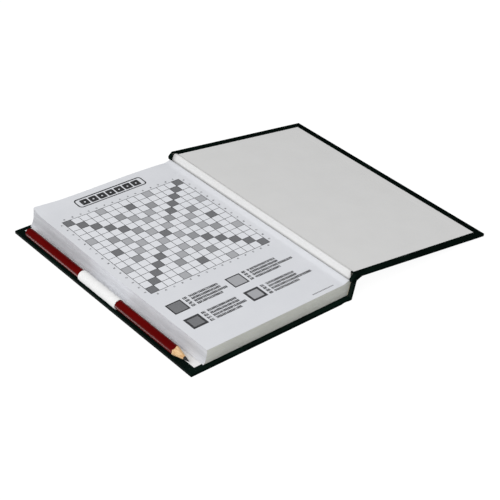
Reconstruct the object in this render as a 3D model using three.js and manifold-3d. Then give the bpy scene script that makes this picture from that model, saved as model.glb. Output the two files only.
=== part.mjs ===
// Hardback score book lying open at its first sheet, with a pencil in a fabric loop.
// Millimetres, +Z up. The origin is the centre of the closed book's footprint, on the surface it lies on.
// +X runs from the fore-edge to the spine, +Y from the tail (bottom of the page) to the head.
import * as THREE from 'three';
import { mergeVertices } from 'three/addons/utils/BufferGeometryUtils.js';
import Module from 'manifold-3d';

const wasm = await Module();
wasm.setup();

// Driving dimensions
const REAR_COVER_WIDTH = 142.2;
const FRONT_COVER_WIDTH = 139.3;
const COVER_HEIGHT = 210;
const COVER_THICKNESS = 2.5;
const CLOTH = 0.3;
const CLOTH_TURN_IN = 14;
const GLUE_GAP = 0.05;
const ENDPAPER = 0.15;
const FRONT_PASTEDOWN_FORE_MARGIN = 7.3;
const FRONT_PASTEDOWN_END_MARGIN = 5.2;
const REAR_PASTEDOWN_FORE_MARGIN = 6;
const REAR_PASTEDOWN_END_MARGIN = 4.5;
const LINING_FLANGE_REACH = 24;

const SHEET_WIDTH = 129.9;
const SHEET_HEIGHT = 205;
const SHEET_THICKNESS = 0.1;
const SHEET_FORE_MARGIN = 14.8;
const BLOCK_BOTTOM = 3.1;
const BLOCK_TOP = 14.15;
const BLOCK_LEAN = 0.19;
const FORE_EDGE_HOLLOW = 0.7;
const PACKETS = 8;
const TOP_SHEET_STUB = 8;

const SPINE_TOP = 16.4;
const SPINE_GLUE = 0.2;
const SPINE_LINING = 0.2;
const SPINE_BOARD = 1.4;
const SPINE_TURN_IN = 12;

const HINGE_X = 68.38;
const HINGE_Z = 17.92;
const CLOSED_OUTER_FACE = 17.1;

const PENCIL_X = -69.9;
const PENCIL_Z = 6.65;
const PENCIL_TIP_Y = -97.4;
const PENCIL_LENGTH = 190;
const PENCIL_RADIUS = 3.5;
const LACQUER = 0.12;
const LEAD_RADIUS = 1.15;
const SHARPENED_LENGTH = 14.4;
const TIP_RADIUS = 0.25;

const LOOP_LENGTH = 43.3;
const LOOP_TAIL_Y = -19.7;
const LOOP_BORE = 3.58;
const LOOP_WALL = 0.5;
const LOOP_TAB_END_X = -46;
const LOOP_TAB = 0.3;

const ROUND_SEGMENTS = 40;

// Values that follow from the driving dimensions
const COVER_LEFT = -74;
const HALF_COVER = COVER_HEIGHT / 2;
const HALF_SHEET = SHEET_HEIGHT / 2;
const PAGE_LEFT = COVER_LEFT + SHEET_FORE_MARGIN;
const PAGE_RIGHT = PAGE_LEFT + SHEET_WIDTH;
const SECOND_SHEET_TOP = BLOCK_TOP - SHEET_THICKNESS - GLUE_GAP;
const PACKETS_TOP = SECOND_SHEET_TOP - SHEET_THICKNESS - GLUE_GAP;
const LAYER_BASE = COVER_THICKNESS + GLUE_GAP;

// The front cover lies on the table by its outer bottom edge, so its tilt follows from the hinge height.
const HINGE_TO_COVER_EDGE = HINGE_X - COVER_LEFT;
const HINGE_TO_OUTER_FACE = HINGE_Z - CLOSED_OUTER_FACE;
const COVER_TILT =
  Math.asin(HINGE_Z / Math.hypot(HINGE_TO_COVER_EDGE, HINGE_TO_OUTER_FACE)) +
  Math.atan2(HINGE_TO_OUTER_FACE, HINGE_TO_COVER_EDGE);
const COVER_OPENING = Math.PI + COVER_TILT;

const COLOURS = {
  cloth: { color: 0x0b1c16, roughness: 0.85, metalness: 0 },
  greyboard: { color: 0x8d877c, roughness: 0.95, metalness: 0 },
  endpaper: { color: 0xe9e9e7, roughness: 0.8, metalness: 0 },
  paper: { color: 0xe4e6ea, roughness: 0.85, metalness: 0 },
  mull: { color: 0xd9d2bf, roughness: 0.95, metalness: 0 },
  glue: { color: 0xd8c9a0, roughness: 0.4, metalness: 0 },
  lacquer: { color: 0x640404, roughness: 0.25, metalness: 0 },
  wood: { color: 0xd9ae74, roughness: 0.7, metalness: 0 },
  lead: { color: 0x2b2b30, roughness: 0.45, metalness: 0.2 },
  loop: { color: 0xf2f2f0, roughness: 0.8, metalness: 0 },
};

function piece(name, geometry, colour) {
  const mesh = new THREE.Mesh(geometry, new THREE.MeshStandardMaterial(COLOURS[colour]));
  mesh.name = name;
  return mesh;
}

function box(x0, x1, y0, y1, z0, z1) {
  const geometry = new THREE.BoxGeometry(x1 - x0, y1 - y0, z1 - z0);
  geometry.translate((x0 + x1) / 2, (y0 + y1) / 2, (z0 + z1) / 2);
  return geometry;
}

// Extrudes an outline given as [x, z] points from y0 to y1.
function prism(outline, y0, y1) {
  const shape = new THREE.Shape(outline.map(([x, z]) => new THREE.Vector2(x, z)));
  const geometry = new THREE.ExtrudeGeometry(shape, { depth: y1 - y0, bevelEnabled: false });
  geometry.rotateX(Math.PI / 2);
  geometry.translate(0, y1, 0);
  return geometry;
}

function toSolid(geometry) {
  const bare = geometry.clone();
  bare.deleteAttribute('normal');
  bare.deleteAttribute('uv');
  const merged = mergeVertices(bare);
  return new wasm.Manifold(
    new wasm.Mesh({
      numProp: 3,
      vertProperties: new Float32Array(merged.attributes.position.array),
      triVerts: new Uint32Array(merged.index.array),
    }),
  );
}

function toGeometry(solid) {
  const mesh = solid.getMesh();
  const geometry = new THREE.BufferGeometry();
  geometry.setAttribute('position', new THREE.BufferAttribute(mesh.vertProperties, 3));
  geometry.setIndex(new THREE.BufferAttribute(mesh.triVerts, 1));
  geometry.computeVertexNormals();
  return geometry;
}

function cut(geometry, ...tools) {
  return toGeometry(tools.reduce((solid, tool) => solid.subtract(toSolid(tool)), toSolid(geometry)));
}

function join(first, second) {
  return toGeometry(toSolid(first).add(toSolid(second)));
}

// Cover: a board in its cloth, with the fore-edge at x = 0, the outer face at z = 0 and the inner face up.
// The cloth turns in over three edges and runs on flat at the fourth, towards the spine.
function coverCloth(width) {
  const beyond = 1;
  const body = box(0, width, -HALF_COVER, HALF_COVER, 0, COVER_THICKNESS);
  const pocket = box(
    CLOTH, width + beyond, CLOTH - HALF_COVER, HALF_COVER - CLOTH, CLOTH, COVER_THICKNESS - CLOTH,
  );
  const turnIn = CLOTH_TURN_IN - HALF_COVER;
  const window = box(
    CLOTH_TURN_IN, width + beyond, turnIn, -turnIn, COVER_THICKNESS / 2, COVER_THICKNESS + beyond,
  );
  return cut(body, pocket, window);
}

function coverBoard(width) {
  const inset = CLOTH + GLUE_GAP;
  return box(inset, width, inset - HALF_COVER, HALF_COVER - inset, inset, COVER_THICKNESS - inset);
}

function pastedown(width, foreMargin, endMargin) {
  const end = HALF_COVER - endMargin;
  return box(foreMargin, width, -end, end, LAYER_BASE, LAYER_BASE + ENDPAPER);
}

// The lining's tongue, glued to the board between the turned-in cloth and under the pastedown.
function liningFlange(width) {
  const end = HALF_COVER - CLOTH_TURN_IN - 2;
  const base = COVER_THICKNESS - CLOTH;
  return box(width - LINING_FLANGE_REACH, width, -end, end, base, base + SPINE_LINING);
}

function rearCover() {
  const group = new THREE.Group();
  group.position.x = COVER_LEFT;
  group.add(
    piece('rear_cover_cloth', coverCloth(REAR_COVER_WIDTH), 'cloth'),
    piece('rear_board', coverBoard(REAR_COVER_WIDTH), 'greyboard'),
    piece('rear_lining_flange', liningFlange(REAR_COVER_WIDTH), 'mull'),
    piece(
      'rear_pastedown',
      pastedown(REAR_COVER_WIDTH, REAR_PASTEDOWN_FORE_MARGIN, REAR_PASTEDOWN_END_MARGIN),
      'endpaper',
    ),
  );
  return group;
}

// The endpaper's fold, wrapped down over the board's edge beside the hinge.
function endpaperFold() {
  const x = FRONT_COVER_WIDTH + GLUE_GAP;
  const drop = 2;
  const end = HALF_COVER - FRONT_PASTEDOWN_END_MARGIN;
  return box(x, x + ENDPAPER, -end, end, LAYER_BASE + ENDPAPER - drop, LAYER_BASE + ENDPAPER);
}

// Built closed over the block, face down, then swung open about the hinge line.
function frontCover() {
  const faceDown = new THREE.Group();
  faceDown.rotation.x = Math.PI;
  faceDown.position.set(-HINGE_TO_COVER_EDGE, 0, -HINGE_TO_OUTER_FACE);
  faceDown.add(
    piece('front_cover_cloth', coverCloth(FRONT_COVER_WIDTH), 'cloth'),
    piece('front_board', coverBoard(FRONT_COVER_WIDTH), 'greyboard'),
    piece('front_lining_flange', liningFlange(FRONT_COVER_WIDTH), 'mull'),
    piece(
      'front_pastedown',
      pastedown(FRONT_COVER_WIDTH, FRONT_PASTEDOWN_FORE_MARGIN, FRONT_PASTEDOWN_END_MARGIN),
      'endpaper',
    ),
    piece('front_endpaper_fold', endpaperFold(), 'endpaper'),
  );
  const swing = new THREE.Group();
  swing.position.set(HINGE_X, 0, HINGE_Z);
  swing.rotation.y = COVER_OPENING;
  swing.add(faceDown);
  return swing;
}

// The block leans with the spine, so its faces shift along x as they rise.
function spineFace(z) {
  return PAGE_RIGHT - (BLOCK_TOP - z) * BLOCK_LEAN;
}

function foreEdge(z) {
  const rise = (z - BLOCK_BOTTOM) / (BLOCK_TOP - BLOCK_BOTTOM);
  return spineFace(z) - SHEET_WIDTH + FORE_EDGE_HOLLOW * Math.sin(Math.PI * rise);
}

// A layer of the spine between two distances behind the block's back, leaning with it.
function spineLayer(near, far, z0, z1, end) {
  const outline = [
    [spineFace(z0) + near, z0],
    [spineFace(z0) + far, z0],
    [spineFace(z1) + far, z1],
    [spineFace(z1) + near, z1],
  ];
  return prism(outline, -end, end);
}

// The cloth wraps the spine board's outer face, foot and both ends, and turns in over its inner face.
function spineCloth(near, far) {
  const beyond = 1;
  const body = spineLayer(near, far, 0, SPINE_TOP, HALF_COVER);
  const top = SPINE_TOP + beyond;
  const pocket = spineLayer(near + CLOTH, far - CLOTH, CLOTH, top, HALF_COVER - CLOTH);
  const window = spineLayer(near - beyond, far - CLOTH, CLOTH, top, HALF_COVER - SPINE_TURN_IN);
  return cut(body, pocket, window);
}

function spine() {
  const glueFar = GLUE_GAP + SPINE_GLUE;
  const liningNear = glueFar + GLUE_GAP;
  const liningFar = liningNear + SPINE_LINING;
  const clothNear = liningFar + GLUE_GAP;
  const boardNear = clothNear + CLOTH + GLUE_GAP;
  const boardFar = boardNear + SPINE_BOARD;
  const clothFar = boardFar + GLUE_GAP + CLOTH;
  const boardFoot = CLOTH + GLUE_GAP;
  const boardEnd = HALF_COVER - CLOTH - GLUE_GAP;
  const blockBase = BLOCK_BOTTOM + GLUE_GAP;
  return [
    piece('spine_glue', spineLayer(GLUE_GAP, glueFar, blockBase, BLOCK_TOP, HALF_SHEET), 'glue'),
    piece('spine_lining', spineLayer(liningNear, liningFar, blockBase, BLOCK_TOP, HALF_SHEET), 'mull'),
    piece('spine_board', spineLayer(boardNear, boardFar, boardFoot, SPINE_TOP - 0.3, boardEnd), 'greyboard'),
    piece('spine_cloth', spineCloth(clothNear, clothFar), 'cloth'),
    piece('front_joint_cloth', jointCloth(spineFace(SPINE_TOP) + clothFar), 'cloth'),
  ];
}

// The free stretch of cloth that rises from the spine's top edge to the front board's edge.
function jointCloth(outerX) {
  const z = SPINE_TOP + 0.1;
  const boardSide = outerX - 1.9;
  const outline = [
    [outerX, z],
    [outerX - 0.35, z + 0.6],
    [outerX - 1, z + 0.95],
    [boardSide, z + 1.3],
    [boardSide, z + 1],
    [outerX - 1.1, z + 0.65],
    [outerX - 0.6, z + 0.4],
    [outerX - CLOTH, z],
  ];
  return prism(outline, -HALF_COVER, HALF_COVER);
}

// The endpaper's glued foot at the gutter, rising beside the joint to the front board's edge.
function endpaperHinge() {
  const foot = BLOCK_TOP + 0.1;
  const top = HINGE_Z + 0.48;
  const outline = [
    [PAGE_RIGHT - 0.5, foot],
    [PAGE_RIGHT - 0.2, foot],
    [PAGE_RIGHT + 0.5, top],
    [PAGE_RIGHT + 0.35, top],
  ];
  return prism(outline, -HALF_SHEET, HALF_SHEET);
}

function packet(index) {
  const height = (PACKETS_TOP - BLOCK_BOTTOM) / PACKETS;
  const z0 = BLOCK_BOTTOM + index * height;
  const z1 = z0 + height - GLUE_GAP;
  const middle = (z0 + z1) / 2;
  const outline = [
    [foreEdge(z0), z0],
    [spineFace(z0), z0],
    [spineFace(z1), z1],
    [foreEdge(z1), z1],
    [foreEdge(middle), middle],
  ];
  return prism(outline, -HALF_SHEET, HALF_SHEET);
}

function block() {
  const pieces = [];
  for (let index = 0; index < PACKETS; index += 1) {
    pieces.push(piece(`sheet_packet_${index + 1}`, packet(index), 'paper'));
  }
  const right = spineFace(SECOND_SHEET_TOP - SHEET_THICKNESS);
  const second = box(
    PAGE_LEFT, right, -HALF_SHEET, HALF_SHEET, SECOND_SHEET_TOP - SHEET_THICKNESS, SECOND_SHEET_TOP,
  );
  const fold = PAGE_RIGHT - TOP_SHEET_STUB;
  const base = BLOCK_TOP - SHEET_THICKNESS;
  const stub = box(fold + 0.1, spineFace(base), -HALF_SHEET, HALF_SHEET, base, BLOCK_TOP);
  const top = box(PAGE_LEFT, fold, -HALF_SHEET, HALF_SHEET, base, BLOCK_TOP);
  pieces.push(
    piece('second_sheet', second, 'paper'),
    piece('top_sheet_stub', stub, 'paper'),
    piece('top_sheet', top, 'paper'),
    piece('front_endpaper_hinge', endpaperHinge(), 'endpaper'),
  );
  return pieces;
}

// Turns a profile of [radius, distance from the pencil's tip] points about the pencil's axis.
function turned(profile) {
  const points = profile.map(([radius, along]) => new THREE.Vector2(radius, along));
  return new THREE.LatheGeometry(points, ROUND_SEGMENTS);
}

// Distance from the tip at which the sharpened cone reaches a radius.
function coneAt(radius) {
  return (SHARPENED_LENGTH * (radius - TIP_RADIUS)) / (PENCIL_RADIUS - TIP_RADIUS);
}

function pencil() {
  const wood = PENCIL_RADIUS - LACQUER - GLUE_GAP;
  const bore = LEAD_RADIUS + GLUE_GAP;
  const coat = PENCIL_RADIUS - LACQUER;
  const end = PENCIL_LENGTH - 1.3;
  const bevel = 0.6;
  const cap = end + GLUE_GAP;
  const woodProfile = [
    [bore, coneAt(bore)],
    [wood, coneAt(wood)],
    [wood, end - bevel],
    [wood - bevel, end],
    [bore, end],
    [bore, coneAt(bore)],
  ];
  const leadProfile = [
    [0, 0],
    [TIP_RADIUS, 0.1],
    [LEAD_RADIUS, coneAt(LEAD_RADIUS)],
    [LEAD_RADIUS, end],
    [0, end],
  ];
  const lacquerProfile = [
    [coat, coneAt(coat)],
    [PENCIL_RADIUS, SHARPENED_LENGTH],
    [PENCIL_RADIUS, PENCIL_LENGTH - 1.8],
    [PENCIL_RADIUS - 0.25, PENCIL_LENGTH - 0.95],
    [PENCIL_RADIUS - 0.9, PENCIL_LENGTH - 0.35],
    [0, PENCIL_LENGTH],
    [0, cap],
    [coat - bevel, cap],
    [coat, cap - bevel],
    [coat, coneAt(coat)],
  ];
  const group = new THREE.Group();
  group.position.set(PENCIL_X, PENCIL_TIP_Y, PENCIL_Z);
  group.add(
    piece('pencil_wood', turned(woodProfile), 'wood'),
    piece('pencil_lead', turned(leadProfile), 'lead'),
    piece('pencil_lacquer', turned(lacquerProfile), 'lacquer'),
  );
  return group;
}

// A sleeve round the pencil, with a tab that runs over the pastedown and under the block.
function pencilLoop() {
  const ring = new THREE.Shape();
  ring.absarc(PENCIL_X, PENCIL_Z, LOOP_BORE + LOOP_WALL, 0, 2 * Math.PI);
  const bore = new THREE.Path();
  bore.absarc(PENCIL_X, PENCIL_Z, LOOP_BORE, 0, 2 * Math.PI);
  ring.holes.push(bore);
  const head = LOOP_TAIL_Y + LOOP_LENGTH;
  const sleeve = new THREE.ExtrudeGeometry(ring, {
    depth: LOOP_LENGTH, bevelEnabled: false, curveSegments: ROUND_SEGMENTS,
  });
  sleeve.rotateX(Math.PI / 2);
  sleeve.translate(0, head, 0);
  const tabBase = LAYER_BASE + ENDPAPER + GLUE_GAP;
  const tab = box(PENCIL_X + 0.3, LOOP_TAB_END_X, LOOP_TAIL_Y, head, tabBase, tabBase + LOOP_TAB);
  return piece('pencil_loop', join(sleeve, tab), 'loop');
}

const book = new THREE.Group();
book.name = 'score_book';
book.add(rearCover(), ...spine(), ...block(), pencilLoop(), pencil(), frontCover());

export default book;
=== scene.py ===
"""Looks of a hardback score book that lies open at its first sheet, with a pencil in a fabric loop.

Lengths are in millimetres in the part's own frame, and are turned into metres where a mesh is made.
+X runs from the fore-edge to the spine, +Y from the tail of the page to the head, +Z up.
"""

import math

import bmesh
import bpy
import numpy as np
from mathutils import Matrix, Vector


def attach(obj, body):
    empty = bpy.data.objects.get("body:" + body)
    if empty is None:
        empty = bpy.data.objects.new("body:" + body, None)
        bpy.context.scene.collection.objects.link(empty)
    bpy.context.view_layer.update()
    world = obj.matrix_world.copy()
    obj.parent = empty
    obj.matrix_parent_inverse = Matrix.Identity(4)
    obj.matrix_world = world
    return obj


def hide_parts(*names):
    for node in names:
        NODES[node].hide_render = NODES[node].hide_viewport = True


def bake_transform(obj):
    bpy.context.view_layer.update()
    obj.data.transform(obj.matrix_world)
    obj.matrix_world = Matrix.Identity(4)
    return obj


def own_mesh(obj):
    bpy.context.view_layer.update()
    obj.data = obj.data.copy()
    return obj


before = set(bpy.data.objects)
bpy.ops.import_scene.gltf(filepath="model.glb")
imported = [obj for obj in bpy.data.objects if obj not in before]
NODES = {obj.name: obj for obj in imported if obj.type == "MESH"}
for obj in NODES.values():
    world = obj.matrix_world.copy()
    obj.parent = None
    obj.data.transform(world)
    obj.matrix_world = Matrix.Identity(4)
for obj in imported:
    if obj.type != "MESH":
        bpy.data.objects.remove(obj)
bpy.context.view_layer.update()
MM = 0.001

# The book's dimensions, as in the CAD
COVER_LEFT = -74.0
HALF_COVER = 105.0
HALF_SHEET = 102.5
SHEET_WIDTH = 129.9
COVER_THICKNESS = 2.5
FRONT_WIDTH = 139.3
PAGE_LEFT = -59.2
PAGE_RIGHT = 70.7
BLOCK_BOTTOM = 3.1
BLOCK_TOP = 14.15
LEAN = 0.19
FORE_EDGE_HOLLOW = 0.7
SPINE_TOP = 16.4
SPINE_INNER, SPINE_OUTER = 0.55, 2.65
HINGE = (68.38, 17.92)
OPENING = math.radians(187.56)
CLOSED_OUTER_FACE = 17.1
PENCIL_AXIS = (-69.9, 6.65)
PENCIL_TIP = -97.4
PENCIL_LENGTH = 190.0
PENCIL_RADIUS = 3.5
SHARPENED = 14.4
LOOP_SPAN = (-19.7, 23.6)

# What only the visual model has
CASE_SKEW = 1.6
LEAD = 1.32
LIFT_FLOOR = 13.9
SHEETS_RIGHT = 69.9
TOP_SHEET_RIGHT = 68.5

RANDOM = np.random.default_rng(11)


# ---------------------------------------------------------------- shader nodes
class Shade:
    """A material, with short ways to add the nodes that it is built from."""

    def __init__(self, name, **values):
        self.material = bpy.data.materials.new(name)
        self.material.use_nodes = True
        self.tree = self.material.node_tree
        self.bsdf = self.tree.nodes["Principled BSDF"]
        for key, value in values.items():
            self.bsdf.inputs[key.replace("_", " ")].default_value = value
        self.coordinates = self.node("TexCoord").outputs["Object"]
        self.place = self.vector("SCALE", self.coordinates, scale=1 / MM)
        split = self.node("SeparateXYZ", {0: self.place})
        self.x, self.y, self.z = split.outputs

    def node(self, kind, inputs=None, **properties):
        made = self.tree.nodes.new("ShaderNode" + kind)
        for key, value in properties.items():
            setattr(made, key, value)
        for key, value in (inputs or {}).items():
            self.feed(made.inputs[key], value)
        return made

    def feed(self, socket, value):
        if isinstance(value, bpy.types.NodeSocket):
            self.tree.links.new(value, socket)
        else:
            socket.default_value = value

    def math(self, operation, *values):
        inputs = dict(enumerate(values))
        return self.node("Math", inputs, operation=operation).outputs[0]

    def vector(self, operation, *values, scale=None):
        made = self.node("VectorMath", dict(enumerate(values)), operation=operation)
        if scale is not None:
            self.feed(made.inputs["Scale"], scale)
        return made.outputs[0]

    def at(self, x, y, z=0.0):
        return self.node("CombineXYZ", {0: x, 1: y, 2: z}).outputs[0]

    def noise(self, scale, detail=2.0, stretch=(1, 1, 1)):
        where = self.vector("MULTIPLY", self.place, stretch)
        return self.node("TexNoise", {"Vector": where, "Scale": scale, "Detail": detail}).outputs["Fac"]

    def wave(self, value, period):
        return self.math("SINE", self.math("MULTIPLY", value, 2 * math.pi / period))

    def paper_tone(self):
        """Fine fibres, and a tone from 0 to 1 that mixes them with a faint cloud."""
        cloud = self.noise(0.05, 4)
        fibre = self.noise(2.2, 4, (1, 0.35, 1))
        tone = self.math("ADD", self.math("MULTIPLY", cloud, 0.6), self.math("MULTIPLY", fibre, 0.4))
        return self.ramp(tone, 0.3, 0.7), fibre

    def white(self, where):
        return self.node("TexWhiteNoise", {"Vector": where}).outputs["Value"]

    def ramp(self, value, low, high, out_low=0.0, out_high=1.0):
        made = self.node("MapRange", {"Value": value, "From Min": low, "From Max": high,
                                      "To Min": out_low, "To Max": out_high})
        return made.outputs["Result"]

    def mix(self, factor, first, second):
        made = self.node("Mix", data_type="RGBA")
        self.feed(made.inputs["Factor"], factor)
        for socket, value in ((made.inputs[6], first), (made.inputs[7], second)):
            self.feed(socket, (*value, 1.0) if isinstance(value, tuple) else value)
        return made.outputs[2]

    def colour(self, value):
        self.feed(self.bsdf.inputs["Base Color"], value)

    def rough(self, value):
        self.feed(self.bsdf.inputs["Roughness"], value)

    def bump(self, height, distance, strength):
        made = self.node("Bump", {"Height": height, "Distance": distance * MM, "Strength": strength})
        self.tree.links.new(made.outputs["Normal"], self.bsdf.inputs["Normal"])


def book_cloth():
    """Very dark green plain weave, with slubs along one thread and a faint mottle."""
    s = Shade("book_cloth", Specular_IOR_Level=0.08)
    warp, weft, rise = [s.wave(axis, 0.62) for axis in (s.x, s.y, s.z)]
    weave = s.math("MULTIPLY", s.math("ADD", warp, s.math("MULTIPLY", rise, 0.7)), weft)
    slub = s.noise(0.9, 3, (1, 0.12, 1))
    body = s.math("ADD", s.math("MULTIPLY", weave, 0.5), s.math("MULTIPLY", slub, 1.2))
    mottle = s.noise(0.06, 4)
    tone = s.ramp(s.math("ADD", s.math("MULTIPLY", weave, 0.1), mottle), 0.1, 0.95)
    s.colour(s.mix(tone, (0.0004, 0.0025, 0.0018), (0.0013, 0.013, 0.0083)))
    s.rough(s.ramp(slub, 0.2, 0.8, 0.62, 0.85))
    s.bump(body, 0.06, 0.6)
    return s.material


def paper(name, low, high):
    """Matte uncoated paper between two tones."""
    s = Shade(name, Specular_IOR_Level=0.25)
    tone, fibre = s.paper_tone()
    s.colour(s.mix(tone, low, high))
    s.rough(s.ramp(fibre, 0.2, 0.8, 0.72, 0.9))
    s.bump(fibre, 0.03, 0.35)
    return s.material


def creased_paper():
    """White endpaper, with painted shade along the foot of the fold."""
    s = Shade("endpaper_fold_stock", Specular_IOR_Level=0.2)
    fibre = s.noise(2.2, 4, (1, 0.35, 1))
    unshaded = s.mix(s.ramp(fibre, 0.3, 0.7), (0.81, 0.81, 0.81), (0.87, 0.87, 0.865))
    wander = s.math("MULTIPLY", s.noise(0.05, 3), 0.5)
    # Painted shade: the paper darkens towards the foot of the fold, along a wandering edge
    crease_shade = s.ramp(s.math("SUBTRACT", s.z, wander), 14.5, 16.3, 0.5, 1.0)
    s.colour(s.vector("SCALE", unshaded, scale=crease_shade))
    s.rough(s.ramp(fibre, 0.2, 0.8, 0.75, 0.9))
    s.bump(fibre, 0.03, 0.35)
    return s.material


# Painted light and shade on the fore-edge by height, from the rear cover (0) to the top sheet (1): darkest
# across the hollow middle, lighter near the top and at the foot
EDGE_LIGHT_BANDS = ((0.0, 0.96), (0.22, 0.92), (0.42, 0.83), (0.58, 0.87), (0.75, 0.99), (0.93, 0.97), (1.0, 0.9))


def sheet_edges():
    """The cut edges of many sheets: fine level lines, uneven in tone, with painted light and shade: bands
    by height along the fore-edge, which darkens towards its ends, and painted shade on the tail side,
    deepest low down, with a painted highlight near the fore-edge corner.
    """
    s = Shade("sheet_edges", Specular_IOR_Level=0.15)
    levels = s.noise(7.5, 2, (0.012, 0.012, 1))
    fine = s.noise(16, 1, (0.03, 0.03, 1))
    smudge = s.noise(0.05, 3, (1, 1, 3))
    tone = s.math("ADD", s.math("MULTIPLY", levels, 0.55), s.math("MULTIPLY", fine, 0.45))
    lit = s.mix(s.ramp(tone, 0.3, 0.7), (0.64, 0.652, 0.69), (0.85, 0.862, 0.895))
    # A darker copy of the edge colour with a faint olive tint: painted shade for the side that faces the
    # tail
    tail_shaded = s.mix(s.ramp(tone, 0.3, 0.7), (0.55, 0.56, 0.505), (0.71, 0.72, 0.66))
    facing = s.node("SeparateXYZ", {0: s.node("TexCoord").outputs["Normal"]}).outputs[1]
    tail = s.ramp(facing, -0.9, -0.4, 1.0, 0.0)
    shade = s.mix(tail, lit, tail_shaded)
    drift = s.math("ADD", s.z, s.math("MULTIPLY", s.noise(0.03, 2), 2.0))
    light_bands = s.node("ValToRGB", {0: s.ramp(drift, 4.1, 15.5)})
    ramp = light_bands.color_ramp
    for position, value in EDGE_LIGHT_BANDS:
        stop = ramp.elements.new(position) if 0 < position < 1 else ramp.elements[int(position)]
        stop.color = (value, value, value, 1)
    # On the tail side: painted shade low down, and a painted highlight towards the fore-edge corner
    painted_low_shade = s.ramp(s.z, 3.1, 15.0, 0.84, 1.05)
    near = s.math("MULTIPLY", painted_low_shade, s.ramp(s.x, -60, -45, 1.15, 0.98))
    # On the fore-edge: painted shade, darker towards the head and a little darker towards the tail end
    painted_falloff = s.math("ADD", s.ramp(s.y, 0, 60, 0, 0.17), s.ramp(s.y, -55, -15, 0.1, 0))
    fore_edge_light = s.math("MULTIPLY", light_bands.outputs[0], s.math("SUBTRACT", 1.07, painted_falloff))
    grade = s.math("ADD", s.math("MULTIPLY", near, tail),
                   s.math("MULTIPLY", fore_edge_light, s.math("SUBTRACT", 1.0, tail)))
    patch = s.ramp(smudge, 0.3, 0.7, 0.95, 1.04)
    s.colour(s.vector("SCALE", shade, scale=s.math("MULTIPLY", grade, patch)))
    s.rough(s.ramp(fine, 0.2, 0.8, 0.8, 0.95))
    s.bump(tone, 0.12, 0.5)
    return s.material


# ---------------------------------------------------------------- the printed sheet
PAGE_TONES = ((0.775, 0.79, 0.83), (0.815, 0.828, 0.865))

# The grid's corner at the tail and fore-edge, and its square cells
GRID_X, GRID_Y, CELL = -50.6, -31.05, 7.21
GRID_CELLS = 15
GRID_RULE = 0.44
LINE_INK, DARK_INK, MIDDLE_INK, LIGHT_INK = 1.0, 0.785, 0.6, 0.46
BARE_CELL = 1.07
# Tinted cells by their larger and smaller distance from the centre cell, the same in all four quarters
DARK_CELLS = ((7, 7), (6, 6), (5, 5), (4, 4), (3, 3), (0, 0), (6, 0))
MIDDLE_CELLS = ((2, 2), (5, 2))
LIGHT_CELLS = ((7, 3), (4, 1), (1, 1), (3, 0))

# The key below the grid: four squares, and lines of text beside each
KEY_COLUMNS = (-45.45, 7.15)
KEY_ROWS = (-53.9, -73.8)
KEY_HALF = (6.5, 6.15)
KEY_TEXT_TOPS = (-47.15, -67.5)
KEY_TEXT_PITCH = 3.22
# Each column of text: where it starts, how long its lines are, how much longer its third line is
KEY_TEXT_COLUMNS = ((-32.0, 25.6, 3.6), (20.5, 25.9, 11.0))
FOOT_LINE_X = (38, 58.2)
FOOT_LINE_Y = -98.3

# The heading above the grid: a rounded box round a row of tiles, each with a hole
HEADING_CENTRE, HEADING_HALF, HEADING_CORNER = (3.5, 91.6), (31.0, 5.3), 2.8
TILE_PITCH, TILE_HALF, TILE_CORNER, TILE_HOLE = 7.9, 2.5, 0.9, 0.75
TILE_ROW_HALF = 27.6


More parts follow.
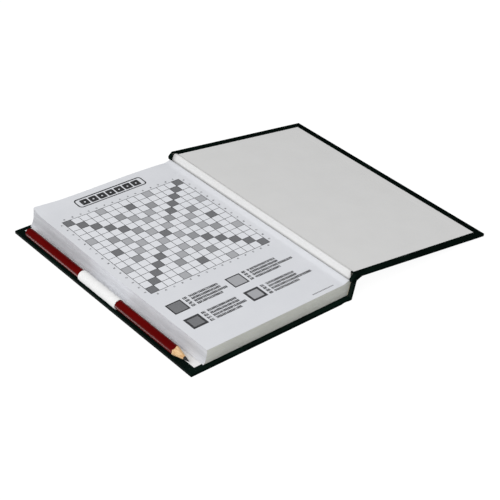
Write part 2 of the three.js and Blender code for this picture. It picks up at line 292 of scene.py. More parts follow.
class Print(Shade):
    """Adds the ink: each method gives how much ink there is, from 0 to 1."""

    def both(self, *values):
        total = values[0]
        for value in values[1:]:
            total = self.math("MULTIPLY", total, value)
        return total

    def most(self, *values):
        total = values[0]
        for value in values[1:]:
            total = self.math("MAXIMUM", total, value)
        return total

    def near(self, value, centre, half):
        return self.math("LESS_THAN", self.math("ABSOLUTE", self.math("SUBTRACT", value, centre)), half)

    def inside(self, value, low, high):
        return self.near(value, (low + high) / 2, (high - low) / 2)

    def block(self, centre_x, centre_y, half_x, half_y):
        return self.both(self.near(self.x, centre_x, half_x), self.near(self.y, centre_y, half_y))

    def pixels(self, width, height, share):
        """Random small marks, like letters too small to read."""
        column = self.math("FLOOR", self.math("DIVIDE", self.x, width))
        row = self.math("FLOOR", self.math("DIVIDE", self.y, height))
        return self.math("LESS_THAN", self.white(self.at(column, row, 3.7)), share)

    def cells(self):
        """The grid's ink, the mask of its cells, and the place in cells from its corner."""
        u = self.math("DIVIDE", self.math("SUBTRACT", self.x, GRID_X), CELL)
        v = self.math("DIVIDE", self.math("SUBTRACT", self.y, GRID_Y), CELL)
        middle = (GRID_CELLS - 1) / 2
        across = self.math("ABSOLUTE", self.math("SUBTRACT", self.math("FLOOR", u), middle))
        along = self.math("ABSOLUTE", self.math("SUBTRACT", self.math("FLOOR", v), middle))
        far = self.math("MAXIMUM", across, along)
        near = self.math("MINIMUM", across, along)
        kind = self.math("ADD", self.math("MULTIPLY", far, 8.0), near)
        within = self.both(self.inside(u, 0, GRID_CELLS), self.inside(v, 0, GRID_CELLS))
        fills = []
        for members, ink in ((DARK_CELLS, DARK_INK), (MIDDLE_CELLS, MIDDLE_INK), (LIGHT_CELLS, LIGHT_INK)):
            is_kind = self.most(*[self.near(kind, 8 * a + b, 0.5) for a, b in members])
            fills.append(self.math("MULTIPLY", is_kind, ink))
        rule = GRID_RULE / 2 / CELL
        edge = self.math("MINIMUM", self.math("PINGPONG", u, 0.5), self.math("PINGPONG", v, 0.5))
        reach = (-rule, GRID_CELLS + rule)
        on_line = self.math("LESS_THAN", edge, rule)
        ruled = self.both(self.inside(u, *reach), self.inside(v, *reach), on_line)
        ink = self.most(self.both(within, self.most(*fills)), self.math("MULTIPLY", ruled, LINE_INK))
        return ink, within, u, v

    def margin_marks(self, u, v):
        """One small mark beside each row and column, outside the grid."""
        found = []
        for along, across in ((u, v), (v, u)):
            centred = self.math("GREATER_THAN", self.math("PINGPONG", along, 0.5), 0.4)
            beside = self.most(self.near(across, -0.34, 0.11), self.near(across, GRID_CELLS + 0.34, 0.11))
            found.append(self.both(centred, beside, self.inside(along, 0, GRID_CELLS)))
        return self.both(self.most(*found), self.pixels(0.42, 0.42, 0.72), 0.8)

    def key_squares(self):
        """Four tinted squares in a dark rim, which is wider and dashed on the lower two."""
        half_x, half_y = KEY_HALF
        found = []
        for column, fill in zip(KEY_COLUMNS, (0.75, LIGHT_INK)):
            for row, bordered in zip(KEY_ROWS, (False, True)):
                found.append(self.math("MULTIPLY", self.block(column, row, half_x, half_y), fill))
                line = 1.9 if bordered else 1.0
                inner = self.block(column, row, half_x - line, half_y - line)
                rim = self.both(self.block(column, row, half_x, half_y), self.math("SUBTRACT", 1.0, inner))
                if bordered:
                    sweep = self.math("ADD", self.x, self.y)
                    dashes = self.math("GREATER_THAN", self.math("PINGPONG", sweep, 1.1), 0.42)
                    rim = self.both(rim, self.most(dashes, 0.87))
                found.append(rim)
        return self.most(*found)

    def key_text(self):
        """Four short lines beside each square, and a narrow column of marks before them."""
        found = []
        glyph = self.math("LESS_THAN", self.math("FRACT", self.math("DIVIDE", self.x, 1.32)), 0.8)
        strokes = self.both(glyph, self.most(self.pixels(0.33, 0.5, 0.82), self.pixels(0.66, 2.4, 0.5)))
        for top in KEY_TEXT_TOPS:
            v = self.math("DIVIDE", self.math("SUBTRACT", top, self.y), KEY_TEXT_PITCH)
            row = self.math("FLOOR", v)
            band = self.both(self.inside(v, 0, 4), self.inside(self.math("FRACT", v), 0.1, 0.84))
            third = self.near(row, 2, 0.3)
            fourth = self.near(row, 3, 0.3)
            for start, wide, extra in KEY_TEXT_COLUMNS:
                longer = self.math("ADD", wide, self.math("MULTIPLY", third, extra))
                length = self.math("SUBTRACT", longer, self.math("MULTIPLY", fourth, 2.9))
                along = self.math("SUBTRACT", self.x, start)
                begun = self.math("GREATER_THAN", along, 0.0)
                text = self.both(begun, self.math("LESS_THAN", along, length))
                tag = self.inside(along, -5.0, -1.7)
                found.append(self.both(band, self.most(text, tag)))
        foot = self.both(self.inside(self.x, *FOOT_LINE_X), self.near(self.y, FOOT_LINE_Y, 0.5), 0.75)
        return self.both(self.most(*found, foot), strokes)

    def heading(self):
        """A rounded box that holds a row of plain tiles."""
        from_centre = self.math("SUBTRACT", self.x, HEADING_CENTRE[0])
        across = self.math("ABSOLUTE", from_centre)
        along = self.math("ABSOLUTE", self.math("SUBTRACT", self.y, HEADING_CENTRE[1]))
        dx = self.beyond(across, HEADING_HALF[0] - HEADING_CORNER)
        dy = self.beyond(along, HEADING_HALF[1] - HEADING_CORNER)
        outside = self.math("SUBTRACT", self.vector_length(dx, dy), HEADING_CORNER)
        frame_line = self.near(outside, -0.3, 0.55)
        tile = self.math("DIVIDE", from_centre, TILE_PITCH)
        side = self.math("MULTIPLY", self.math("PINGPONG", tile, 0.5), TILE_PITCH)
        corner_gap = self.vector_length(self.beyond(side, TILE_HALF), self.beyond(along, TILE_HALF))
        solid = self.math("LESS_THAN", corner_gap, TILE_CORNER)
        around_hole = self.math("GREATER_THAN", self.vector_length(side, along), TILE_HOLE)
        row = self.both(solid, around_hole, self.math("LESS_THAN", across, TILE_ROW_HALF))
        return self.math("MULTIPLY", self.most(frame_line, row), 0.97)

    def beyond(self, value, limit):
        return self.math("MAXIMUM", self.math("SUBTRACT", value, limit), 0.0)

    def vector_length(self, a, b):
        return self.math("SQRT", self.math("ADD", self.math("MULTIPLY", a, a), self.math("MULTIPLY", b, b)))


def printed_paper():
    """The top sheet, with its grid, key and heading in black ink."""
    s = Print("printed_paper", Specular_IOR_Level=0.25)
    grid, within, u, v = s.cells()
    ink = s.most(grid, s.margin_marks(u, v), s.key_squares(), s.key_text(), s.heading())
    tone, fibre = s.paper_tone()
    sheet = s.mix(tone, *PAGE_TONES)
    sheet = s.vector("SCALE", sheet, scale=s.ramp(within, 0, 1, 1.0, BARE_CELL))
    grain = s.ramp(s.noise(3.5, 1), 0.3, 0.7, 0.93, 1.03)
    s.colour(s.mix(s.math("MULTIPLY", ink, grain), sheet, (0.012, 0.012, 0.014)))
    s.rough(s.ramp(ink, 0, 1, 0.8, 0.6))
    s.bump(fibre, 0.03, 0.35)
    return s.material


# ---------------------------------------------------------------- other materials
def lacquer():
    """Maroon lacquer, a little scuffed."""
    s = Shade("pencil_lacquer_coat", Specular_IOR_Level=0.07)
    ripple = s.noise(0.25, 2, (1, 0.2, 1))
    scuff = s.noise(1.4, 5, (1, 0.25, 1))
    s.colour(s.mix(s.ramp(ripple, 0.3, 0.7), (0.105, 0.0006, 0.0005), (0.135, 0.0012, 0.001)))
    s.rough(s.ramp(scuff, 0.35, 0.75, 0.3, 0.37))
    s.bump(ripple, 0.02, 0.12)
    return s.material


def cut_wood():
    """Cedar with its rings and the marks of the cutter."""
    s = Shade("pencil_cedar", Specular_IOR_Level=0.2)
    rings = s.noise(1.3, 3, (1, 0.08, 1))
    cuts = s.noise(3.0, 2, (0.4, 1.2, 0.4))
    s.colour(s.mix(s.ramp(rings, 0.35, 0.65), (0.66, 0.38, 0.17), (0.92, 0.66, 0.38)))
    s.rough(s.ramp(cuts, 0.2, 0.8, 0.6, 0.8))
    s.bump(cuts, 0.06, 0.6)
    return s.material


def graphite():
    s = Shade("pencil_graphite", Specular_IOR_Level=0.6, Metallic=0.15)
    grain = s.noise(4.0, 3)
    s.colour(s.mix(s.ramp(grain, 0.3, 0.7), (0.012, 0.012, 0.014), (0.035, 0.035, 0.04)))
    s.rough(s.ramp(grain, 0.3, 0.7, 0.35, 0.55))
    s.bump(grain, 0.05, 0.4)
    return s.material


def woven_tape():
    """White tape with a fine dotted weave."""
    s = Shade("woven_tape", Specular_IOR_Level=0.2, Sheen_Weight=0.15)
    weave = s.math("MULTIPLY", s.wave(s.y, 0.95), s.wave(s.math("ADD", s.x, s.z), 0.95))
    soil = s.noise(0.12, 4)
    dots = s.math("GREATER_THAN", s.noise(1.1, 2), 0.66)
    light = s.mix(s.ramp(weave, -1, 1), (0.92, 0.92, 0.92), (0.98, 0.98, 0.98))
    dotted = s.mix(s.math("MULTIPLY", dots, 0.22), light, (0.5, 0.5, 0.52))
    s.colour(s.vector("SCALE", dotted, scale=s.ramp(soil, 0.3, 0.7, 0.97, 1.0)))
    s.rough(s.ramp(soil, 0.3, 0.7, 0.8, 0.92))
    s.bump(weave, 0.06, 0.5)
    return s.material


def greyboard():
    s = Shade("greyboard", Specular_IOR_Level=0.15)
    flecks = s.noise(1.8, 5)
    s.colour(s.mix(s.ramp(flecks, 0.3, 0.7), (0.2, 0.18, 0.155), (0.34, 0.32, 0.285)))
    s.rough(s.ramp(flecks, 0.2, 0.8, 0.85, 0.97))
    s.bump(flecks, 0.12, 0.6)
    return s.material


def gauze():
    s = Shade("lining_gauze", Specular_IOR_Level=0.15)
    thread = s.math("MAXIMUM", s.wave(s.y, 1.1), s.wave(s.math("ADD", s.x, s.z), 1.1))
    s.colour(s.mix(s.ramp(thread, 0.1, 0.8), (0.5, 0.45, 0.34), (0.78, 0.74, 0.62)))
    s.rough(s.ramp(thread, 0, 1, 0.95, 0.8))
    s.bump(thread, 0.1, 0.7)
    return s.material


def dried_glue():
    s = Shade("spine_glue_film", Specular_IOR_Level=0.5)
    pools = s.noise(0.35, 3)
    s.colour(s.mix(s.ramp(pools, 0.3, 0.7), (0.6, 0.5, 0.3), (0.74, 0.66, 0.46)))
    s.rough(s.ramp(pools, 0.3, 0.7, 0.3, 0.55))
    s.bump(pools, 0.1, 0.5)
    return s.material


def floor_paint():
    s = Shade("pale_floor", Specular_IOR_Level=0.0, Roughness=1.0)
    s.bsdf.inputs["Base Color"].default_value = (0.12, 0.12, 0.12, 1)
    s.bsdf.inputs["Emission Color"].default_value = (1, 1, 1, 1)
    s.bsdf.inputs["Emission Strength"].default_value = 0.95
    return s.material


CLOTH = book_cloth()
PAGE = paper("page_stock", *PAGE_TONES)
PRINTED = printed_paper()
EDGES = sheet_edges()
ENDPAPER = paper("endpaper_stock", (0.79, 0.79, 0.785), (0.825, 0.825, 0.82))
INNER_PAPER = paper("inner_endpaper_stock", (0.93, 0.93, 0.93), (0.97, 0.97, 0.965))
HINGE_PAPER = creased_paper()
TAPE = woven_tape()


# ---------------------------------------------------------------- mesh building
def make(name, vertices, faces, materials, smooth=True, picks=None):
    """A mesh object from vertices in millimetres. picks gives each face's material number."""
    mesh = bpy.data.meshes.new(name)
    mesh.from_pydata([tuple(c * MM for c in v) for v in vertices], [], faces)
    for material in materials:
        mesh.materials.append(material)
    if picks is not None:
        mesh.polygons.foreach_set("material_index", np.asarray(picks, np.int32))
    mesh.polygons.foreach_set("use_smooth", [smooth] * len(mesh.polygons))
    mesh.update()
    made = bpy.data.objects.new(name, mesh)
    bpy.context.scene.collection.objects.link(made)
    return made


def sharpen(piece, degrees=35.0):
    """Smooth shading apart from the edges that turn by more than this."""
    piece.data.set_sharp_from_angle(angle=math.radians(degrees))
    return piece


def rounded(corners, steps=5):
    """An outline with arcs at its corners. Each corner is x, z and its arc's radius."""
    out = []
    count = len(corners)
    for i, (x, z, radius) in enumerate(corners):
        here = np.array((x, z), float)
        if radius <= 0:
            out.append(here)
            continue
        before = np.array(corners[i - 1][:2], float) - here
        after = np.array(corners[(i + 1) % count][:2], float) - here
        before /= np.linalg.norm(before)
        after /= np.linalg.norm(after)
        half = math.acos(float(np.clip(before @ after, -1, 1))) / 2
        reach = radius / math.tan(half)
        middle = before + after
        centre = here + middle / np.linalg.norm(middle) * radius / math.sin(half)
        first = here + before * reach - centre
        last = here + after * reach - centre
        turn = math.atan2(first[0] * last[1] - first[1] * last[0], first @ last)
        for k in range(steps + 1):
            a = turn * k / steps
            out.append(centre + np.array((first[0] * math.cos(a) - first[1] * math.sin(a),
                                          first[0] * math.sin(a) + first[1] * math.cos(a))))
    return np.array(out)


def inward(outline):
    """For each point of an outline that runs anticlockwise, the step inwards for an inset of 1."""
    ahead = np.roll(outline, -1, 0) - outline
    ahead /= np.maximum(np.linalg.norm(ahead, axis=1, keepdims=True), 1e-9)
    normal = np.stack([-ahead[:, 1], ahead[:, 0]], 1)
    both = normal + np.roll(normal, 1, 0)
    both /= np.linalg.norm(both, axis=1, keepdims=True)
    return both / np.maximum((both * normal).sum(1, keepdims=True), 0.35)


def area(outline):
    x, z = outline[:, 0], outline[:, 1]
    return 0.5 * float(np.sum(x * np.roll(z, -1) - np.roll(x, -1) * z))


def tube_faces(rings, count):
    """Faces of a closed tube that has this many rings, each of count points, and a cap at either end."""
    faces = []
    for s in range(rings - 1):
        for i in range(count):
            j = (i + 1) % count
            faces.append((s * count + i, s * count + j, (s + 1) * count + j, (s + 1) * count + i))
    faces.append(tuple(range(count))[::-1])
    faces.append(tuple(range((rings - 1) * count, rings * count)))
    return faces


def slab_faces(nx, ny):
    """Faces of a closed thin sheet: a grid of nx by ny points, then the same grid on its other side.

    Also gives each face's material number: 0 on the first side, 1 on the other, 2 round the rim.
    """
    faces, picks = [], []
    other = nx * ny
    for i in range(nx - 1):
        for j in range(ny - 1):
            a = i * ny + j
            faces.append((a, a + ny, a + ny + 1, a + 1))
            faces.append((other + a, other + a + 1, other + a + ny + 1, other + a + ny))
            picks += [0, 1]
    rim = [(i * ny + j, ny) for i in range(nx - 1) for j in (0, ny - 1)]
    rim += [(i * ny + j, 1) for j in range(ny - 1) for i in (0, nx - 1)]
    for a, step in rim:
        faces.append((a, a + step, other + a + step, other + a))
        picks.append(2)
    return faces, picks


def swept(outline, half, radius, steps=3, spans=1, shift=None):
    """A closed bar with this outline in x and z, along y, with its two ends rounded off."""
    if area(outline) < 0:
        outline = outline[::-1]
    step_in = inward(outline)
    angles = [math.pi / 2 * k / steps for k in range(steps, -1, -1)]
    first = [(-half + radius * (1 - math.sin(a)), radius * (1 - math.cos(a))) for a in angles]
    middle = [(-half + radius + (2 * half - 2 * radius) * k / spans, 0.0) for k in range(1, spans)]
    stations = first + middle + [(-y, inset) for y, inset in first[::-1]]
    vertices = []
    for y, inset in stations:
        for x, z in outline + step_in * inset:
            vertices.append(shift(x, y, z) if shift else (x, y, z))
    return vertices, tube_faces(len(stations), len(outline))


def cover_place(x, y, z):
    """Where a point of the open front cover lies: x from its fore-edge, z from its outer face."""
    dx = (COVER_LEFT + x) - HINGE[0]
    dz = (CLOSED_OUTER_FACE - z) - HINGE[1]
    c, s = math.cos(OPENING), math.sin(OPENING)
    return HINGE[0] + c * dx + s * dz, y, HINGE[1] - s * dx + c * dz


def outer_fix(piece):
    """Turns every face outwards."""
    work = bmesh.new()
    work.from_mesh(piece.data)
    bmesh.ops.recalc_face_normals(work, faces=work.faces)
    work.to_mesh(piece.data)
    work.free()
    return piece


def smooth(t):
    """A soft step from 0 to 1."""
    t = np.clip(t, 0, 1)
    return t * t * (3 - 2 * t)


def towards_tail(y):
    """0 from the head to just past the middle, 1 at the tail."""
    return smooth((-y - 20.0) / 80.0)


def case_tail(x, y, z):
    """The case is slightly out of square: its tail edge runs out further towards the front cover."""
    rear = smooth((x - COVER_LEFT) / 70.0)
    front = smooth((x - 71.0) / 12.0)
    out = CASE_SKEW / 2 * (rear + front) * towards_tail(y)
    return x, y - float(out), z


def spine_face(z):
    """Where the glued edge of the sheets is at this height."""
    return PAGE_RIGHT - (BLOCK_TOP - z) * LEAN


def fore_edge(z):
    """Where the free edge of the sheets is: hollow between top and bottom, flared at its foot."""
    rise = min(max((z - BLOCK_BOTTOM) / (BLOCK_TOP - BLOCK_BOTTOM), 0), 1)
    flare = 0.75 * max(0.0, 1 - (z - BLOCK_BOTTOM) / 1.6) ** 1.5
    return spine_face(z) - SHEET_WIDTH + FORE_EDGE_HOLLOW * math.sin(math.pi * rise) - flare


# How far the loose sheets spring up along their head edge: x, rise
HEAD_LIFT = (
    (-59.2, 4.3), (-54, 3.9), (-49, 3.45), (-44, 2.95), (-39, 2.55), (-34, 2.25), (-24, 2.05), (-9, 1.85),
    (5, 1.8), (16, 1.8), (26, 1.75), (36, 1.5), (46, 1.2), (56, 0.7), (62, 0.25), (68.5, 0.05),
)


def gutter_rise(x, y):
    """The sheets swell where they meet the glued edge, and drop off into the crease beside the endpaper."""
    rise = (1.4 - 0.25 * y / HALF_SHEET) * smooth((x - 63.5) / 5.8)
    return rise * (1 - 0.35 * np.clip((x - 69.2) / 0.7, 0, 1) ** 2)


def lift(x, y):
    """How far the loose sheets stand above a flat block: mostly along the head and at the fore-edge."""
    head = np.interp(x, *zip(*HEAD_LIFT))
    fore_edge_lift = 1.45 * math.exp(-max(x - PAGE_LEFT, 0) / 26.0)
    near_head = np.clip((y - 88) / 14.5, 0, 1) ** 2
    rise = fore_edge_lift * smooth((y - 8) / 66.0) + (head - fore_edge_lift * 0.98) * near_head
    return float(rise + gutter_rise(x, y))


def corner(x, y, radius=1.3):
    """Rounds the sheets' corner at the head and fore-edge."""
    cx, cy = PAGE_LEFT + radius, HALF_SHEET - radius
    if x < cx and y > cy:
        dx, dy = x - cx, y - cy
        far = max(abs(dx), abs(dy))
        length = math.hypot(dx, dy)
        if length > 1e-6:
            x, y = cx + dx / length * far, cy + dy / length * far
    return x, y


# ---------------------------------------------------------------- case
CASE_END = {"radius": 0.42, "steps": 4, "spans": 24}


def rear_case():
    """Rear cover and spine in one sheet of cloth."""
    foot = spine_face(0) + SPINE_OUTER
    top = spine_face(SPINE_TOP) + SPINE_OUTER
    inner_top = spine_face(SPINE_TOP) + SPINE_INNER
    inner_foot = spine_face(COVER_THICKNESS) + SPINE_INNER
    groove = [(60.5, 0, 1.2), (62.3, 0.5, 1.2), (65.7, 0.5, 1.2), (67.5, 0, 1.2)]
    outline = rounded([(COVER_LEFT, 0, 0.55)] + groove + [
        (foot, 0, 0.6), (top, SPINE_TOP, 0.6), (inner_top, SPINE_TOP, 0.5),
        (inner_foot, COVER_THICKNESS, 0.5), (COVER_LEFT, COVER_THICKNESS, 0.5),
    ])
    vertices, faces = swept(outline, HALF_COVER, **CASE_END, shift=case_tail)
    piece = outer_fix(make("rear_case_cloth", vertices, faces, [CLOTH]))
    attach(sharpen(piece), "case_and_block")
    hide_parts("rear_cover_cloth", "spine_cloth")


def front_case():
    """The front cover in its cloth: its inner edge at the joint is rounded more than the others."""
    outline = rounded([
        (0, 0, 0.5), (FRONT_WIDTH, 0, 0.6), (FRONT_WIDTH, COVER_THICKNESS, 0.6), (0, COVER_THICKNESS, 0.5),
    ])
    vertices, faces = swept(outline, HALF_COVER, **CASE_END,
                            shift=lambda x, y, z: case_tail(*cover_place(x, y, z)))
    piece = outer_fix(make("front_case_cloth", vertices, faces, [CLOTH]))
    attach(sharpen(piece), "front_cover")
    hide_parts("front_cover_cloth")


def ribbon(name, rows, thickness, ends, material, spans=40, place=None):
    """A strip that runs along y. Each row is x, z; ends gives each row's half length."""
    rows = np.array(rows, float)
    ahead = np.gradient(rows, axis=0)
    ahead /= np.linalg.norm(ahead, axis=1, keepdims=True)
    normal = np.stack([ahead[:, 1], -ahead[:, 0]], 1) * thickness / 2
    vertices = []
    for side in (1, -1):
        for k in range(spans + 1):
            t = -1 + 2 * k / spans
            for (x, z), (nx, nz), end in zip(rows, normal, ends):
                point = (x + side * nx, t * end, z + side * nz)
                vertices.append(place(*point) if place else point)
    return outer_fix(make(name, vertices, slab_faces(spans + 1, len(rows))[0], [material]))


def joint_cloth():
    """The cloth that bends between the spine and the front board."""
    rows = [(73.5, 15.2), (73.5, 16.0), (73.0, 16.45), (72.3, 16.62), (71.9, 16.95), (71.6, 17.35),
            (71.55, 17.8), (71.62, 18.2), (72.1, 18.38), (73.2, 18.2)]
    cloth = ribbon("joint_cloth", rows, 0.3, [HALF_COVER - 0.2] * len(rows), CLOTH, place=case_tail)
    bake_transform(cloth)
    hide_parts("front_joint_cloth")


def endpaper_joint():
    """The endpaper that folds up out of the gutter and over onto the front cover."""
    rows = [(70.3, 14.2), (70.5, 14.22), (70.68, 14.4), (71.78, 20.5), (71.95, 20.8), (72.35, 20.92),
            (72.9, 20.88), (73.8, 20.75)]
    ends = [102.4, 102.4, 102.4, 100.6, 100.3, 100.1, 100.0, 100.0]
    strip = ribbon("endpaper_joint", rows, 0.15, ends, HINGE_PAPER)
    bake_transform(strip)
    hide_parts("front_endpaper_hinge", "front_endpaper_fold")


def flatten_on_cover(piece):
    """The piece goes with the front cover, on a mesh of its own."""
    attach(sharpen(piece, 50), "front_cover")
    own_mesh(piece)


def joint_shoulder():
    """The fullness of the bent cloth on the outside of the joint, under the front cover."""
    outline = rounded([
        (73.3, 14.4, 0), (73.52, 15.3, 0), (73.72, 16.0, 0), (74.1, 16.6, 0), (74.75, 17.05, 0),
        (75.6, 17.28, 0), (76.7, 17.34, 0), (78.2, 17.42, 0), (76.0, 17.85, 0), (72.4, 18.3, 0),
        (71.95, 17.2, 0), (72.6, 16.2, 0),
    ])
    vertices, faces = swept(outline, HALF_COVER - 0.15, 0.4, 3, 24, case_tail)
    flatten_on_cover(outer_fix(make("joint_shoulder", vertices, faces, [CLOTH])))


def joint_end_caps():
    """The cloth turned in over the two ends of the joint."""
    cap = rounded([
        (73.3, 14.4, 0), (73.7, 16.0, 0.4), (75.1, 17.05, 0.6), (76.5, 17.3, 0), (76.5, 20.1, 0),
        (73.2, 20.85, 0.3), (71.9, 20.6, 0.6), (69.6, 18.7, 1.2), (68.6, 17.2, 0.8), (69.2, 15.1, 0.5),
        (70.5, 14.4, 0),
    ])
    vertices, faces = [], []
    inner = HALF_SHEET + 0.1
    for end, outer in ((1, HALF_COVER - 0.1), (-1, HALF_COVER + CASE_SKEW / 2 - 0.1)):
        half, middle = (outer - inner) / 2, end * (outer + inner) / 2
        points, sides = swept(cap, half, 0.45, 3, 2, lambda x, y, z: (x, y + middle, z))
        faces += [tuple(i + len(vertices) for i in side) for side in sides]
        vertices += points
    flatten_on_cover(outer_fix(make("joint_end_caps", vertices, faces, [CLOTH])))


def pastedown_sheet():
    """The front endpaper glued down, with the faint step of the turned-in cloth beneath it."""
    left, right, tail, head = 7.3, 137.0, -99.8, 98.4
    turn_in_x, turn_in_y, step_width = 12.8, 92.2, 2.4
    across_step = np.linspace(0, step_width, 4)
    end_step = turn_in_y - across_step
    xs = np.unique(np.concatenate([np.linspace(left, right, 50), turn_in_x + across_step]))
    ys = np.unique(np.concatenate([np.linspace(tail, head, 66), -end_step, end_step]))
    wobble = RANDOM.normal(0, 1, (3, 4))
    vertices = []
    for upper in (True, False):
        for x in xs:
            for y in ys:
                past_side = smooth((x - turn_in_x) / step_width)
                past_end = smooth((turn_in_y - abs(y)) / step_width)
                inside = min(past_side, past_end)
                wave = sum(0.018 * a * math.sin(b * x / 23 + c * y / 31 + k)
                           for k, (a, b, c) in enumerate(wobble[:, :3]))
                rise = 0.17 - 0.09 * inside + wave * inside if upper else -0.05
                vertices.append(cover_place(x, y - 1.4 * towards_tail(y), COVER_THICKNESS + rise))
    faces = slab_faces(len(xs), len(ys))[0]
    piece = outer_fix(make("front_pastedown_sheet", vertices, faces, [ENDPAPER]))
    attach(sharpen(piece, 50), "front_cover")
    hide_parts("front_pastedown")


# ---------------------------------------------------------------- sheets
def ring_points(x0, x1, y1, inset):
    """Points round a stack of sheets at one level: tail, spine, head and fore-edge."""
    nx, ny = 26, 40
    a, b, c = x0 + inset, x1, y1 - inset
    points = [(a + (b - a) * i / nx, -c) for i in range(nx)]
    points += [(b, -c + 2 * c * i / ny) for i in range(ny)]
    points += [(b + (a - b) * i / nx, c) for i in range(nx)]
    points += [(a, c - 2 * c * i / ny) for i in range(ny)]
    return points


def stacked(levels, place):
    """A closed stack. Each level is z, inset and two edges in x; place turns x, y, z into a point."""
    vertices = []
    for z, inset, x0, x1 in levels:
        ring = ring_points(x0, x1, HALF_SHEET, inset)
        vertices += [place(x, y, z) for x, y in ring]
    return vertices, tube_faces(len(levels), len(ring))


def sheet_block():
    """The sheets below the top few, each layer a little in or out of line."""
    sheets = 52
    levels = []
    for k in range(sheets):
        low = BLOCK_BOTTOM + (LIFT_FLOOR - BLOCK_BOTTOM) * k / sheets
        high = BLOCK_BOTTOM + (LIFT_FLOOR - BLOCK_BOTTOM) * (k + 1) / sheets
        inset = float(RANDOM.uniform(0, 0.1))
        for z in (low + 0.012, high - 0.012):
            levels.append((z, inset, fore_edge(z), spine_face(z)))
    vertices, faces = stacked(levels, lambda x, y, z: (*corner(x, y, 0.8), z))
    piece = outer_fix(make("sheet_block", vertices, faces, [EDGES]))
    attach(sharpen(piece, 30), "case_and_block")
    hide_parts(*[f"sheet_packet_{k + 1}" for k in range(8)])


def sheet_grid(right, top, bottom):
    """Vertices, faces and material numbers of a thin sheet between two surfaces."""
    xs = np.unique(np.concatenate([np.linspace(PAGE_LEFT, right, 70), [PAGE_LEFT + 0.5, PAGE_LEFT + 1.1],
                                   np.linspace(64, right, 12)]))
    ys = np.unique(np.concatenate([np.linspace(-HALF_SHEET, 80, 60), np.linspace(80, HALF_SHEET, 24),
                                   [HALF_SHEET - 0.5]]))
    vertices = []
    for surface in (top, bottom):
        for x in xs:
            for y in ys:
                px, py = corner(x, y)
                vertices.append((px, py, surface(px, py)))
    return vertices, *slab_faces(len(xs), len(ys))


def lifted_sheets():
    """The few sheets under the top one, sprung up along the head."""
    vertices, faces, picks = sheet_grid(
        SHEETS_RIGHT, lambda x, y: 14.04 + lift(x, y), lambda x, y: LIFT_FLOOR)
    piece = outer_fix(make("lifted_sheets", vertices, faces, [PRINTED, PAGE, EDGES], picks=picks))
    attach(sharpen(piece, 40), "case_and_block")
    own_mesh(piece)
    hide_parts("second_sheet")


def top_sheet():
    """The printed sheet that turns, and the strip that bends where it meets the glued edge."""
    vertices, faces, picks = sheet_grid(
        TOP_SHEET_RIGHT,
        lambda x, y: BLOCK_TOP + 0.02 + lift(x, y),
        lambda x, y: BLOCK_TOP - 0.08 + lift(x, y),
    )
    piece = outer_fix(make("top_sheet_panel", vertices, faces, [PRINTED, PAGE, PAGE], picks=picks))
    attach(sharpen(piece, 40), "turning_sheet")
    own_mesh(piece)
    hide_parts("top_sheet")

    rows = [(68.42, BLOCK_TOP + 0.35), (69.3, BLOCK_TOP - 0.1), (69.7, BLOCK_TOP - 0.15)]
    gutter = ribbon("top_sheet_gutter", rows, 0.1, [HALF_SHEET - 0.05] * 3, PAGE)
    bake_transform(gutter)
    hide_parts("top_sheet_stub")


# ---------------------------------------------------------------- pencil and loop
def lathe(name, profile, material, around=72, edge=None):
    """Turns points (radius, distance from the tip) about the pencil's axis. edge may move each point."""
    cx, cz = PENCIL_AXIS
    vertices = []
    for radius, along in profile:
        for k in range(around):
            a = 2 * math.pi * k / around
            r, t = edge(radius, along, a) if edge else (radius, along)
            vertices.append((cx + r * math.cos(a), PENCIL_TIP + t, cz + r * math.sin(a)))
    return outer_fix(make(name, vertices, tube_faces(len(profile), around), [material]))


def cone(radius):
    """How far from the tip the sharpened cone has this radius."""
    return SHARPENED * (radius - 0.25) / (PENCIL_RADIUS - 0.25)


# The rounding of the pencil's end: distance in from the barrel's side, distance from the end
PENCIL_DOME = (
    (0, 2.2), (0.06, 1.6), (0.22, 1.05), (0.5, 0.6), (0.9, 0.3), (1.5, 0.1), (2.4, 0.02), (3.2, 0),
)


def pencil_barrel():
    """The lacquered barrel, with a domed end."""
    def scallop(radius, along, a):
        """The cut through the lacquer wanders a little round the barrel."""
        if along < SHARPENED + 0.5:
            along += 0.35 * math.sin(2 * a + 0.4) + 0.18 * math.sin(5 * a + 1.1)
        return radius, along

    dome = [(PENCIL_RADIUS - inset, PENCIL_LENGTH - depth) for inset, depth in PENCIL_DOME]
    straight = PENCIL_LENGTH - PENCIL_DOME[0][1] - SHARPENED
    body = [(PENCIL_RADIUS, SHARPENED + straight * k / 24) for k in range(1, 24)]
    front = [(PENCIL_RADIUS - 0.5, SHARPENED - 0.6), (PENCIL_RADIUS - 0.1, SHARPENED - 0.35),
             (PENCIL_RADIUS - 0.02, SHARPENED - 0.1), (PENCIL_RADIUS, SHARPENED + 0.35)]
    piece = lathe("pencil_barrel", front + body + dome, lacquer(), edge=scallop)
    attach(sharpen(piece, 40), "pencil")
    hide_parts("pencil_lacquer")


def pencil_point():
    """The shaved cone of wood."""
    def shaved(radius, along, a):
        """The knife leaves the cone very slightly faceted."""
        return radius * (1 - 0.012 * math.cos(9 * a + along * 0.35)), along

    inner, outer, steps = LEAD - 0.08, 3.46, 14
    radii = [inner + (outer - inner) * k / steps for k in range(1, steps + 1)]
    profile = [(LEAD - 0.18, cone(LEAD - 0.13)), (LEAD - 0.1, cone(LEAD - 0.08))]
    profile += [(radius, cone(radius) + 0.05) for radius in radii]
    profile += [(3.2, SHARPENED + 1.5)]
    piece = lathe("pencil_point", profile, cut_wood(), edge=shaved)
    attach(sharpen(piece, 60), "pencil")
    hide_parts("pencil_wood")


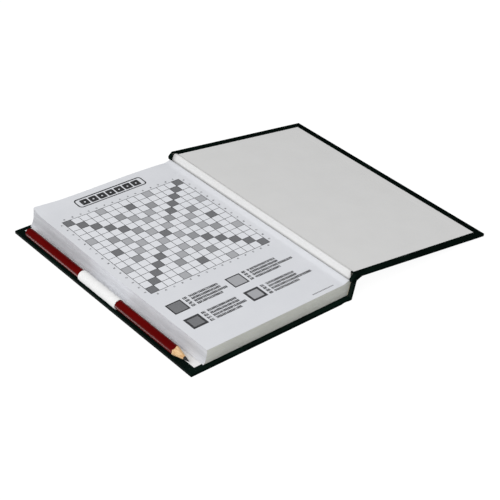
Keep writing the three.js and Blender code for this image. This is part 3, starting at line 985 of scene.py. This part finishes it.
def pencil_tip():
    """The sharpened lead."""
    profile = [(0.05, 0.0), (0.16, 0.05), (0.26, 0.25)]
    profile += [(0.26 + (LEAD - 0.26) * k / 8, 0.25 + (cone(LEAD) - 0.25) * k / 8) for k in range(1, 9)]
    profile += [(LEAD - 0.18, cone(LEAD) + 1.5)]
    piece = lathe("pencil_tip", profile, graphite(), around=48)
    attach(sharpen(piece, 60), "pencil")
    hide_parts("pencil_lead")


def loop_sleeve():
    """A sleeve of white tape round the pencil, thickest where it meets the tab."""
    cx, cz = PENCIL_AXIS
    low, high = LOOP_SPAN
    around, spans = 64, 40
    bore, wall, seam = 3.62, 0.45, math.radians(318)
    vertices, faces = [], []
    for side in (0, 1):
        for k in range(spans + 1):
            y = low + (high - low) * k / spans
            edge = min(y - low, high - y)
            hem = 0.1 * math.exp(-edge / 0.5) - 0.14 * max(0.0, 1 - edge / 0.18)
            for i in range(around):
                a = 2 * math.pi * i / around
                pinch = 0.55 * math.exp(-((a - seam) / 0.5) ** 2)
                pulse = 0.045 * math.sin(0.35 * y + 2 * a) + 0.03 * math.sin(0.9 * y - 3 * a)
                radius = bore + (wall + hem + pinch + pulse) * side
                vertices.append((cx + radius * math.cos(a), y, cz + radius * math.sin(a)))
    back = (spans + 1) * around
    for k in range(spans):
        for i in range(around):
            j = (i + 1) % around
            a, b = k * around, (k + 1) * around
            faces.append((back + a + i, back + a + j, back + b + j, back + b + i))
            faces.append((a + i, b + i, b + j, a + j))
    for k in (0, spans):
        for i in range(around):
            j = (i + 1) % around
            a = k * around
            faces.append((a + i, a + j, back + a + j, back + a + i))
    sleeve = outer_fix(make("pencil_loop_sleeve", vertices, faces, [TAPE]))
    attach(sharpen(sleeve, 50), "case_and_block")
    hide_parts("pencil_loop")


def loop_tab():
    """The end of the tape, which runs from the sleeve in under the sheets."""
    outline = rounded([
        (-67.6, 2.74, 0), (-46, 2.74, 0.1), (-46, 3.06, 0.1),
        (-66.2, 3.06, 0.6), (-66.9, 4.1, 0.2), (-67.8, 3.6, 0),
    ])
    low, high = LOOP_SPAN
    half = (high - low) / 2
    middle = (high + low) / 2
    vertices, faces = swept(outline, half - 0.1, 0.15, 2, 10, lambda x, y, z: (x, y + middle, z))
    tab = outer_fix(make("pencil_loop_tab", vertices, faces, [TAPE]))
    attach(sharpen(tab, 40), "case_and_block")


# ---------------------------------------------------------------- studio
# Each light's name, place, aim and size in metres, and its power
LIGHTS = (
    ("softbox_key", (-1.25, -0.5, 1.12), (0, 0, 0), 0.9, 14.2),
    ("softbox_front", (0.3, -1.6, 1.5), (0, 0, 0), 0.9, 0.8),
    ("strip_low", (-0.6, 0.66, -0.5), (-0.07, 0, 0.007), 0.36, 4.2),
)
CAMERA_PLACE = (-0.52823, -0.65121, 0.58333)
CAMERA_TURN = (55.8578, -2.9080, -40.4503)


def studio():
    """A pale floor, soft light from the left and front, and a low strip that shows only in reflections."""
    reach, level = 6.0 / MM, -0.02
    corners = [(sx * reach, sy * reach, level) for sx, sy in ((-1, -1), (1, -1), (1, 1), (-1, 1))]
    floor = make("floor", corners, [(0, 1, 2, 3)], [floor_paint()], smooth=False)
    floor.visible_diffuse = False
    floor.visible_glossy = False

    world = bpy.data.worlds.new("studio")
    world.use_nodes = True
    background = world.node_tree.nodes["Background"]
    background.inputs["Color"].default_value = (1, 1, 1, 1)
    background.inputs["Strength"].default_value = 0.55
    bpy.context.scene.world = world
    world.cycles_visibility.glossy = False

    for name, place, aim, size, power in LIGHTS:
        light = bpy.data.lights.new(name, "AREA")
        light.shape = "SQUARE"
        light.size = size
        light.energy = power
        light.use_shadow = name != "strip_low"
        holder = bpy.data.objects.new(name, light)
        bpy.context.scene.collection.objects.link(holder)
        holder.location = place
        holder.rotation_euler = (Vector(aim) - Vector(place)).to_track_quat("-Z", "Y").to_euler()
        holder.visible_diffuse = name != "strip_low"

    camera = bpy.data.cameras.new("camera")
    camera.lens = 101.24
    camera.sensor_width = 36.0
    camera.clip_start, camera.clip_end = 0.05, 20.0
    holder = bpy.data.objects.new("camera", camera)
    holder.location = CAMERA_PLACE
    holder.rotation_euler = [math.radians(a) for a in CAMERA_TURN]
    bpy.context.scene.collection.objects.link(holder)
    bpy.context.scene.camera = holder
    bpy.context.scene.view_settings.view_transform = "Standard"


def hidden_layers():
    """Materials for the CAD pieces that stay as they are."""
    board, mull, glue = greyboard(), gauze(), dried_glue()
    for name, material in (
        ("rear_board", board), ("front_board", board), ("spine_board", board),
        ("rear_lining_flange", mull), ("front_lining_flange", mull), ("spine_lining", mull),
        ("spine_glue", glue), ("rear_pastedown", INNER_PAPER),
    ):
        mesh = NODES[name].data
        mesh.materials.clear()
        mesh.materials.append(material)


hidden_layers()
rear_case()
front_case()
joint_cloth()
endpaper_joint()
joint_shoulder()
joint_end_caps()
pastedown_sheet()
sheet_block()
lifted_sheets()
top_sheet()
pencil_barrel()
pencil_point()
pencil_tip()
loop_sleeve()
loop_tab()
studio()
